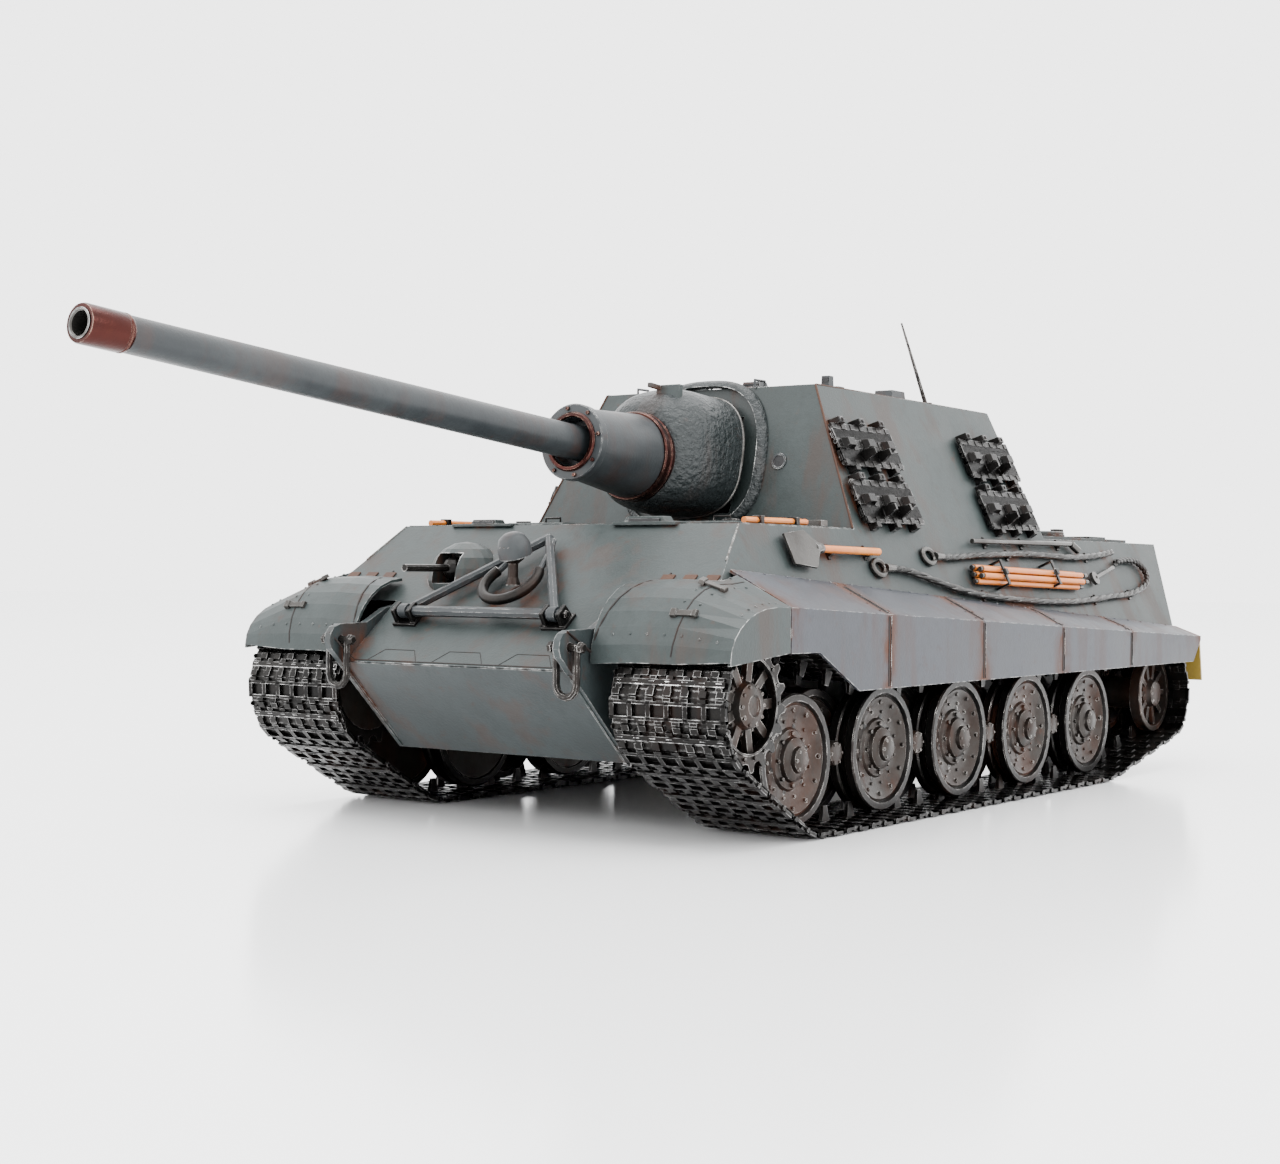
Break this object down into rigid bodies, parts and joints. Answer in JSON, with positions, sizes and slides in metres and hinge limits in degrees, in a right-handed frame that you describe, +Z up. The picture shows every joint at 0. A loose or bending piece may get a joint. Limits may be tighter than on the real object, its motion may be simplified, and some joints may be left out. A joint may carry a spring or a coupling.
{
  "type": "rc tank",
  "caption": "Radio-controlled scale model of a casemate tank with a long gun, tracked running gear, opening hatches and a folding gun travel lock.",
  "frame": {"origin": "on the ground under the middle of the overall box, muzzle to exhaust tips", "axes": "+Z up, the front of the tank looks along -Y, its left side is at +X"},
  "size_m": [0.24, 0.6521, 0.2197],
  "materials": {
    "grey_paint": "matte, weathered",
    "dark_steel": "dark, satin",
    "track_steel": "blackened with worn edges",
    "wheel_paint": "rust-washed paint",
    "wire_steel": "worn",
    "wood": "oiled",
    "lens": "clear",
    "olive_paint": "matte",
    "black_plastic": "matte",
    "board_green": "solder mask"
  },
  "bodies": {
    "chassis": {"lower_hull": "grey_paint", "upper_hull": "grey_paint", "casemate_roof": "grey_paint", "engine_deck": "grey_paint", "headlight": "grey_paint", "antenna": "dark_steel", "battery_pack": "black_plastic", "control_board": "board_green", "speaker": "black_plastic", "skirt_left": "grey_paint", "mudguard_left": "grey_paint", "mud_flap_left": "olive_paint", "suspension_left": "wheel_paint", "gearbox_left": "black_plastic", "exhaust_left": "dark_steel", "track_left": "track_steel", "skirt_right": "grey_paint", "mudguard_right": "grey_paint", "mud_flap_right": "olive_paint", "suspension_right": "wheel_paint", "gearbox_right": "black_plastic", "exhaust_right": "dark_steel", "track_right": "track_steel"},
    "sprocket_left": {"sprocket_left": "track_steel"},
    "road_wheel_left_1": {"road_wheel_left_1": "wheel_paint"},
    "road_wheel_left_2": {"road_wheel_left_2": "wheel_paint"},
    "road_wheel_left_3": {"road_wheel_left_3": "wheel_paint"},
    "road_wheel_left_4": {"road_wheel_left_4": "wheel_paint"},
    "road_wheel_left_5": {"road_wheel_left_5": "wheel_paint"},
    "road_wheel_left_6": {"road_wheel_left_6": "wheel_paint"},
    "road_wheel_left_7": {"road_wheel_left_7": "wheel_paint"},
    "road_wheel_left_8": {"road_wheel_left_8": "wheel_paint"},
    "road_wheel_left_9": {"road_wheel_left_9": "wheel_paint"},
    "idler_left": {"idler_left": "wheel_paint"},
    "sprocket_right": {"sprocket_right": "track_steel"},
    "road_wheel_right_1": {"road_wheel_right_1": "wheel_paint"},
    "road_wheel_right_2": {"road_wheel_right_2": "wheel_paint"},
    "road_wheel_right_3": {"road_wheel_right_3": "wheel_paint"},
    "road_wheel_right_4": {"road_wheel_right_4": "wheel_paint"},
    "road_wheel_right_5": {"road_wheel_right_5": "wheel_paint"},
    "road_wheel_right_6": {"road_wheel_right_6": "wheel_paint"},
    "road_wheel_right_7": {"road_wheel_right_7": "wheel_paint"},
    "road_wheel_right_8": {"road_wheel_right_8": "wheel_paint"},
    "road_wheel_right_9": {"road_wheel_right_9": "wheel_paint"},
    "idler_right": {"idler_right": "wheel_paint"},
    "gun_yoke": {"gun_yoke": "dark_steel"},
    "gun_mantlet": {"gun_mantlet": "grey_paint"},
    "gun_barrel": {"gun_barrel": "grey_paint"},
    "travel_lock": {"travel_lock": "grey_paint"},
    "bow_mg": {"bow_mg": "dark_steel"},
    "commander_hatch": {"commander_hatch": "grey_paint"},
    "driver_hatch": {"driver_hatch": "grey_paint"},
    "radio_hatch": {"radio_hatch": "grey_paint"},
    "power_switch": {"power_switch": "black_plastic"},
    "rear_door_left": {"rear_door_left": "grey_paint"},
    "tow_shackle_left": {"tow_shackle_left": "wire_steel"},
    "rear_door_right": {"rear_door_right": "grey_paint"},
    "tow_shackle_right": {"tow_shackle_right": "wire_steel"}
  },
  "joints": [
    {"name": "sprocket_left_spin", "type": "hinge", "parent": "chassis", "child": "sprocket_left", "pos_m": [0.0928, -0.1177, 0.0512], "axis": [1, 0, 0], "continuous": true},
    {"name": "road_wheel_left_1_spin", "type": "hinge", "parent": "chassis", "child": "road_wheel_left_1", "pos_m": [0.0993, -0.077, 0.0287], "axis": [1, 0, 0], "continuous": true},
    {"name": "road_wheel_left_2_spin", "type": "hinge", "parent": "chassis", "child": "road_wheel_left_2", "pos_m": [0.0863, -0.0439, 0.0287], "axis": [1, 0, 0], "continuous": true},
    {"name": "road_wheel_left_3_spin", "type": "hinge", "parent": "chassis", "child": "road_wheel_left_3", "pos_m": [0.0993, -0.0108, 0.0287], "axis": [1, 0, 0], "continuous": true},
    {"name": "road_wheel_left_4_spin", "type": "hinge", "parent": "chassis", "child": "road_wheel_left_4", "pos_m": [0.0863, 0.0223, 0.0287], "axis": [1, 0, 0], "continuous": true},
    {"name": "road_wheel_left_5_spin", "type": "hinge", "parent": "chassis", "child": "road_wheel_left_5", "pos_m": [0.0993, 0.0554, 0.0287], "axis": [1, 0, 0], "continuous": true},
    {"name": "road_wheel_left_6_spin", "type": "hinge", "parent": "chassis", "child": "road_wheel_left_6", "pos_m": [0.0863, 0.0885, 0.0287], "axis": [1, 0, 0], "continuous": true},
    {"name": "road_wheel_left_7_spin", "type": "hinge", "parent": "chassis", "child": "road_wheel_left_7", "pos_m": [0.0993, 0.1216, 0.0287], "axis": [1, 0, 0], "continuous": true},
    {"name": "road_wheel_left_8_spin", "type": "hinge", "parent": "chassis", "child": "road_wheel_left_8", "pos_m": [0.0863, 0.1547, 0.0287], "axis": [1, 0, 0], "continuous": true},
    {"name": "road_wheel_left_9_spin", "type": "hinge", "parent": "chassis", "child": "road_wheel_left_9", "pos_m": [0.0993, 0.1878, 0.0287], "axis": [1, 0, 0], "continuous": true},
    {"name": "idler_left_spin", "type": "hinge", "parent": "chassis", "child": "idler_left", "pos_m": [0.0928, 0.264, 0.0383], "axis": [1, 0, 0], "continuous": true},
    {"name": "sprocket_right_spin", "type": "hinge", "parent": "chassis", "child": "sprocket_right", "pos_m": [-0.0928, -0.1177, 0.0512], "axis": [1, 0, 0], "continuous": true},
    {"name": "road_wheel_right_1_spin", "type": "hinge", "parent": "chassis", "child": "road_wheel_right_1", "pos_m": [-0.0993, -0.077, 0.0287], "axis": [1, 0, 0], "continuous": true},
    {"name": "road_wheel_right_2_spin", "type": "hinge", "parent": "chassis", "child": "road_wheel_right_2", "pos_m": [-0.0863, -0.0439, 0.0287], "axis": [1, 0, 0], "continuous": true},
    {"name": "road_wheel_right_3_spin", "type": "hinge", "parent": "chassis", "child": "road_wheel_right_3", "pos_m": [-0.0993, -0.0108, 0.0287], "axis": [1, 0, 0], "continuous": true},
    {"name": "road_wheel_right_4_spin", "type": "hinge", "parent": "chassis", "child": "road_wheel_right_4", "pos_m": [-0.0863, 0.0223, 0.0287], "axis": [1, 0, 0], "continuous": true},
    {"name": "road_wheel_right_5_spin", "type": "hinge", "parent": "chassis", "child": "road_wheel_right_5", "pos_m": [-0.0993, 0.0554, 0.0287], "axis": [1, 0, 0], "continuous": true},
    {"name": "road_wheel_right_6_spin", "type": "hinge", "parent": "chassis", "child": "road_wheel_right_6", "pos_m": [-0.0863, 0.0885, 0.0287], "axis": [1, 0, 0], "continuous": true},
    {"name": "road_wheel_right_7_spin", "type": "hinge", "parent": "chassis", "child": "road_wheel_right_7", "pos_m": [-0.0993, 0.1216, 0.0287], "axis": [1, 0, 0], "continuous": true},
    {"name": "road_wheel_right_8_spin", "type": "hinge", "parent": "chassis", "child": "road_wheel_right_8", "pos_m": [-0.0863, 0.1547, 0.0287], "axis": [1, 0, 0], "continuous": true},
    {"name": "road_wheel_right_9_spin", "type": "hinge", "parent": "chassis", "child": "road_wheel_right_9", "pos_m": [-0.0993, 0.1878, 0.0287], "axis": [1, 0, 0], "continuous": true},
    {"name": "idler_right_spin", "type": "hinge", "parent": "chassis", "child": "idler_right", "pos_m": [-0.0928, 0.264, 0.0383], "axis": [1, 0, 0], "continuous": true},
    {"name": "gun_traverse", "type": "hinge", "parent": "chassis", "child": "gun_yoke", "pos_m": [0, 0.023, 0.1411], "axis": [0, 0, 1], "range_deg": [-4, 4]},
    {"name": "gun_elevation", "type": "hinge", "parent": "gun_yoke", "child": "gun_mantlet", "pos_m": [0, 0.023, 0.1411], "axis": [-1, 0, 0], "range_deg": [-3.5, 3.5]},
    {"name": "gun_recoil", "type": "slide", "parent": "gun_mantlet", "child": "gun_barrel", "axis": [0, 0.9956, -0.0941], "range_m": [0, 0.01], "stiffness_N_per_m": 120, "springref_m": -0.003},
    {"name": "travel_lock_fold", "type": "hinge", "parent": "chassis", "child": "travel_lock", "pos_m": [0, -0.13547, 0.08284], "axis": [1, 0, 0], "range_deg": [0, 50]},
    {"name": "bow_mg_traverse", "type": "hinge", "parent": "chassis", "child": "bow_mg", "pos_m": [-0.0345, -0.11271, 0.09971], "axis": [0, 0, 1], "range_deg": [-8, 8]},
    {"name": "commander_hatch_hinge", "type": "hinge", "parent": "chassis", "child": "commander_hatch", "pos_m": [-0.027, 0.0665, 0.17988], "axis": [-1, 0, 0], "range_deg": [0, 90]},
    {"name": "driver_hatch_hinge", "type": "hinge", "parent": "chassis", "child": "driver_hatch", "pos_m": [0.059, -0.0371, 0.11738], "axis": [0, 1, 0], "range_deg": [0, 90]},
    {"name": "radio_hatch_hinge", "type": "hinge", "parent": "chassis", "child": "radio_hatch", "pos_m": [-0.059, -0.0371, 0.11738], "axis": [0, -1, 0], "range_deg": [0, 90]},
    {"name": "rear_door_left_hinge", "type": "hinge", "parent": "chassis", "child": "rear_door_left", "pos_m": [0.02, 0.1824, 0.1293], "axis": [0, 0.061, -0.9981], "range_deg": [0, 100]},
    {"name": "tow_shackle_left_swing", "type": "hinge", "parent": "chassis", "child": "tow_shackle_left", "pos_m": [0.0565, -0.1554, 0.0716], "axis": [1, 0, 0], "range_deg": [-75, 0]},
    {"name": "rear_door_right_hinge", "type": "hinge", "parent": "chassis", "child": "rear_door_right", "pos_m": [-0.02, 0.1824, 0.1293], "axis": [0, -0.061, 0.9981], "range_deg": [0, 100]},
    {"name": "tow_shackle_right_swing", "type": "hinge", "parent": "chassis", "child": "tow_shackle_right", "pos_m": [-0.0565, -0.1554, 0.0716], "axis": [1, 0, 0], "range_deg": [-75, 0]},
    {"name": "power_switch_slide", "type": "slide", "parent": "chassis", "child": "power_switch", "axis": [0, 1, 0], "range_m": [0, 0.004]}
  ],
  "couplings": [
    {"joint": "road_wheel_left_1_spin", "follows": "sprocket_left_spin", "ratio": 0.97431},
    {"joint": "road_wheel_left_2_spin", "follows": "sprocket_left_spin", "ratio": 0.97431},
    {"joint": "road_wheel_left_3_spin", "follows": "sprocket_left_spin", "ratio": 0.97431},
    {"joint": "road_wheel_left_4_spin", "follows": "sprocket_left_spin", "ratio": 0.97431},
    {"joint": "road_wheel_left_5_spin", "follows": "sprocket_left_spin", "ratio": 0.97431},
    {"joint": "road_wheel_left_6_spin", "follows": "sprocket_left_spin", "ratio": 0.97431},
    {"joint": "road_wheel_left_7_spin", "follows": "sprocket_left_spin", "ratio": 0.97431},
    {"joint": "road_wheel_left_8_spin", "follows": "sprocket_left_spin", "ratio": 0.97431},
    {"joint": "road_wheel_left_9_spin", "follows": "sprocket_left_spin", "ratio": 0.97431},
    {"joint": "idler_left_spin", "follows": "sprocket_left_spin", "ratio": 1.2378},
    {"joint": "road_wheel_right_1_spin", "follows": "sprocket_right_spin", "ratio": 0.97431},
    {"joint": "road_wheel_right_2_spin", "follows": "sprocket_right_spin", "ratio": 0.97431},
    {"joint": "road_wheel_right_3_spin", "follows": "sprocket_right_spin", "ratio": 0.97431},
    {"joint": "road_wheel_right_4_spin", "follows": "sprocket_right_spin", "ratio": 0.97431},
    {"joint": "road_wheel_right_5_spin", "follows": "sprocket_right_spin", "ratio": 0.97431},
    {"joint": "road_wheel_right_6_spin", "follows": "sprocket_right_spin", "ratio": 0.97431},
    {"joint": "road_wheel_right_7_spin", "follows": "sprocket_right_spin", "ratio": 0.97431},
    {"joint": "road_wheel_right_8_spin", "follows": "sprocket_right_spin", "ratio": 0.97431},
    {"joint": "road_wheel_right_9_spin", "follows": "sprocket_right_spin", "ratio": 0.97431},
    {"joint": "idler_right_spin", "follows": "sprocket_right_spin", "ratio": 1.2378}
  ]
}
